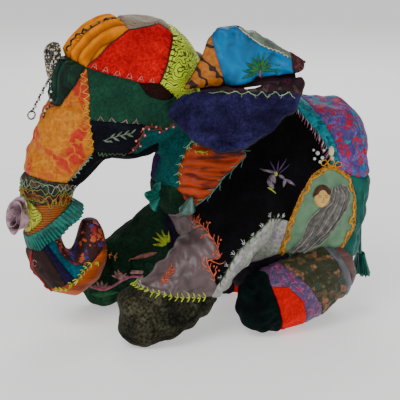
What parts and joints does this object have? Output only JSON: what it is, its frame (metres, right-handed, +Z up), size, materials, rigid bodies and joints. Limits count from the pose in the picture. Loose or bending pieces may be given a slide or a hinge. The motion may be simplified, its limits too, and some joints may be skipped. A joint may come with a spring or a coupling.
{
  "type": "stuffed elephant",
  "caption": "Sitting patchwork elephant, hand sewn from velvets, silks and brocades over firm stuffing, with padded ears, a curled trunk, a hanging tail and a beaded forehead jewel.",
  "frame": {"origin": "on the surface the elephant sits on, under the middle of its length and width", "axes": "+Z up, the elephant faces -X, its left side is towards -Y"},
  "size_m": [0.3356, 0.19, 0.2663],
  "materials": {
    "wadding": "muslin over loose stuffing",
    "green_satin": "pleated satin",
    "gold_silk": "pleated silk",
    "grey_brocade": "zigzag brocade",
    "black_velvet": "velvet",
    "red_velvet": "velvet",
    "crimson_velvet": "velvet",
    "lime_brocade": "scrolled brocade",
    "green_velvet": "velvet",
    "blue_velvet": "velvet",
    "orange_paisley": "printed silk",
    "black_lace": "lace over silk",
    "orange_silk": "top-stitched silk",
    "teal_velvet": "velvet",
    "purple_velvet": "velvet",
    "rust_silk": "crinkled silk",
    "plum_silk": "crinkled silk",
    "print_silk": "printed silk",
    "pale_green_silk": "embroidered silk",
    "rump_paisley_print": "printed cotton",
    "teal_satin": "satin",
    "mauve_satin": "satin",
    "forest_velvet": "embroidered velvet",
    "charcoal_velvet": "crushed velvet",
    "dark_teal_velvet": "velvet",
    "leg_patchwork": "printed silks",
    "curl_patchwork": "printed silks",
    "blue_silk": "silk",
    "navy_velvet": "velvet",
    "ribbon": "satin ribbon",
    "beadwork": "glass beads"
  },
  "bodies": {
    "body": {"stuffing_head": "wadding", "stuffing_trunk": "wadding", "stuffing_torso": "wadding", "stuffing_front_leg_left": "wadding", "stuffing_front_leg_right": "wadding", "brow_green_satin": "green_satin", "brow_gold_silk": "gold_silk", "crown_brocade": "grey_brocade", "chin_black_velvet": "black_velvet", "cheek_red_velvet_left": "red_velvet", "cheek_red_velvet_right": "crimson_velvet", "nape_lime_brocade_left": "lime_brocade", "nape_lime_brocade_right": "lime_brocade", "temple_green_velvet_left": "green_velvet", "temple_green_velvet_right": "blue_velvet", "cheek_black_velvet_left": "black_velvet", "cheek_black_velvet_right": "black_velvet", "trunk_paisley_left": "orange_paisley", "trunk_paisley_right": "orange_paisley", "trunk_lace": "black_lace", "trunk_orange_band": "orange_silk", "neck_teal_velvet_left": "teal_velvet", "neck_teal_velvet_right": "purple_velvet", "shoulder_rust_silk_left": "rust_silk", "shoulder_rust_silk_right": "plum_silk", "flank_black_velvet_left": "black_velvet", "flank_black_velvet_right": "black_velvet", "flank_print_silk_left": "print_silk", "flank_print_silk_right": "print_silk", "medallion_silk_left": "pale_green_silk", "medallion_silk_right": "pale_green_silk", "rump_paisley_left": "rump_paisley_print", "rump_paisley_right": "rump_paisley_print", "rump_teal_satin": "teal_satin", "seat_velvet": "black_velvet", "chest_velvet": "forest_velvet", "front_leg_satin_left": "mauve_satin", "front_leg_velvet_right": "forest_velvet", "front_foot_left": "charcoal_velvet", "front_foot_right": "forest_velvet", "trunk_fringe": "teal_satin", "ribbon_rose": "ribbon", "forehead_jewel": "beadwork", "chest_frill": "teal_satin"},
    "trunk_curl": {"stuffing_trunk_curl": "wadding", "trunk_curl_cover": "curl_patchwork"},
    "ear_left": {"ear_upper_left": "blue_silk", "ear_lower_left": "navy_velvet"},
    "ear_right": {"ear_upper_right": "blue_silk", "ear_lower_right": "navy_velvet"},
    "tail": {"tail_satin": "teal_satin", "tail_frill": "teal_satin"},
    "bead_string": {"bead_drop": "beadwork"},
    "hind_leg_left": {"stuffing_hind_leg_left": "wadding", "hind_foot_velvet_left": "dark_teal_velvet", "hind_leg_patchwork_left": "leg_patchwork"},
    "hind_leg_right": {"stuffing_hind_leg_right": "wadding", "hind_foot_velvet_right": "dark_teal_velvet", "hind_leg_patchwork_right": "leg_patchwork"}
  },
  "joints": [
    {"name": "trunk_bend", "type": "hinge", "parent": "body", "child": "trunk_curl", "pos_m": [-0.12575, -0.00054, 0.091], "axis": [0, 1, 0], "range_deg": [-7, 7], "stiffness_Nm_per_rad": 0.6},
    {"name": "ear_left_flap", "type": "hinge", "parent": "body", "child": "ear_left", "pos_m": [-0.02175, -0.04654, 0.209], "axis": [-0.6187, -0.3708, -0.6926], "range_deg": [-12, 25], "stiffness_Nm_per_rad": 0.4},
    {"name": "ear_right_flap", "type": "hinge", "parent": "body", "child": "ear_right", "pos_m": [-0.01975, 0.04646, 0.198], "axis": [0.6187, -0.3708, 0.6926], "range_deg": [-12, 25], "stiffness_Nm_per_rad": 0.4},
    {"name": "tail_swing", "type": "hinge", "parent": "body", "child": "tail", "pos_m": [0.15675, -0.00054, 0.122], "axis": [0, -1, 0], "range_deg": [0, 70]},
    {"name": "bead_string_swing", "type": "hinge", "parent": "body", "child": "bead_string", "pos_m": [-0.12375, -0.00054, 0.211], "axis": [-0.891, 0, 0.454], "range_deg": [-20, 20]},
    {"name": "hind_leg_left_splay", "type": "hinge", "parent": "body", "child": "hind_leg_left", "pos_m": [0.11525, -0.04454, 0.046], "axis": [0, 0, 1], "range_deg": [-8, 8], "stiffness_Nm_per_rad": 1},
    {"name": "hind_leg_right_splay", "type": "hinge", "parent": "body", "child": "hind_leg_right", "pos_m": [0.11525, 0.04346, 0.046], "axis": [0, 0, -1], "range_deg": [-8, 8], "stiffness_Nm_per_rad": 1}
  ]
}
